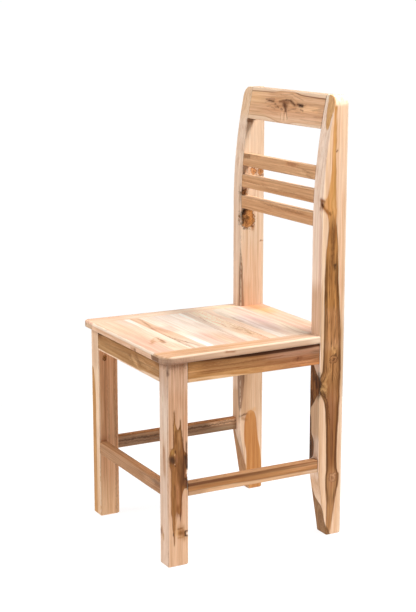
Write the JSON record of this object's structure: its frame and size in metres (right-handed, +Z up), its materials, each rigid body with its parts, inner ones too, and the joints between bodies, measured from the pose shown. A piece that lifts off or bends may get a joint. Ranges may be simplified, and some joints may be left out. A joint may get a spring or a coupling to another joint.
{
  "type": "side chair",
  "caption": "Armless side chair in unfinished solid wood: flat board seat, swept rear posts, deep crest rail, thin horizontal slats and side and front stretchers.",
  "frame": {"origin": "middle of the chair's outline on the floor", "axes": "+Z up, the chair faces -Y, +X towards the sitter's left"},
  "size_m": [0.3997, 0.437, 0.953],
  "materials": {
    "frame_wood": "planed and sanded, unfinished, matt",
    "seat_wood": "planed and sanded, unfinished, matt",
    "inner_wood": "sawn, unfinished",
    "screw_steel": "plain zinc"
  },
  "bodies": {
    "root": {"front_leg_left": "frame_wood", "front_leg_right": "frame_wood", "rear_post_left": "frame_wood", "rear_post_right": "frame_wood", "crest_rail": "frame_wood", "back_slat_upper": "frame_wood", "back_slat_middle": "frame_wood", "back_slat_lower": "frame_wood", "apron_front": "frame_wood", "apron_left": "frame_wood", "apron_right": "frame_wood", "apron_back": "frame_wood", "stretcher_front": "frame_wood", "stretcher_left": "frame_wood", "stretcher_right": "frame_wood", "seat_rail_left": "seat_wood", "seat_rail_right": "seat_wood", "seat_board_1": "seat_wood", "seat_board_2": "seat_wood", "seat_board_3": "seat_wood", "seat_board_4": "seat_wood", "seat_board_5": "seat_wood", "seat_board_6": "seat_wood", "corner_block_front_left": "inner_wood", "corner_block_front_right": "inner_wood", "corner_block_rear_left": "inner_wood", "corner_block_rear_right": "inner_wood", "seat_dowels": "inner_wood", "block_screws": "screw_steel", "seat_screws": "screw_steel"}
  },
  "joints": []
}
